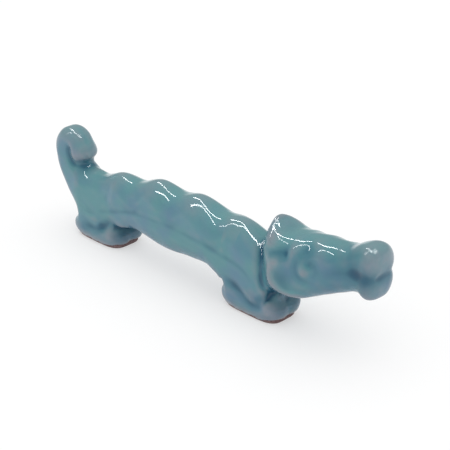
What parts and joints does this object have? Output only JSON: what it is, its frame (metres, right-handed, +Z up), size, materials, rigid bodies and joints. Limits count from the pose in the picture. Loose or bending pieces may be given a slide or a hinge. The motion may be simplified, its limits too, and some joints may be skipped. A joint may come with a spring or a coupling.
{
  "type": "brush rest",
  "caption": "Long glazed ceramic brush rest shaped as a stretched beast on short feet, with a waved back that holds brushes in its dips, a scrolled tail and a raised muzzle.",
  "frame": {"origin": "centre of the bounding box, on the surface that the feet stand on", "axes": "+X from the tail towards the nose, along the body; +Z up; +Y across the body, to the beast's left"},
  "size_m": [0.1145, 0.0166, 0.0302],
  "materials": {
    "glaze": "glossy turquoise glaze, darker where it pools in the carving and thin and pale on the ridges",
    "bare_clay": "matte unglazed red-brown clay"
  },
  "bodies": {
    "root": {"trunk": "glaze", "head": "glaze", "tail_scroll": "glaze", "hind_foot": "glaze", "fore_foot": "glaze", "hind_foot_rim": "bare_clay", "fore_foot_rim": "bare_clay"}
  },
  "joints": []
}
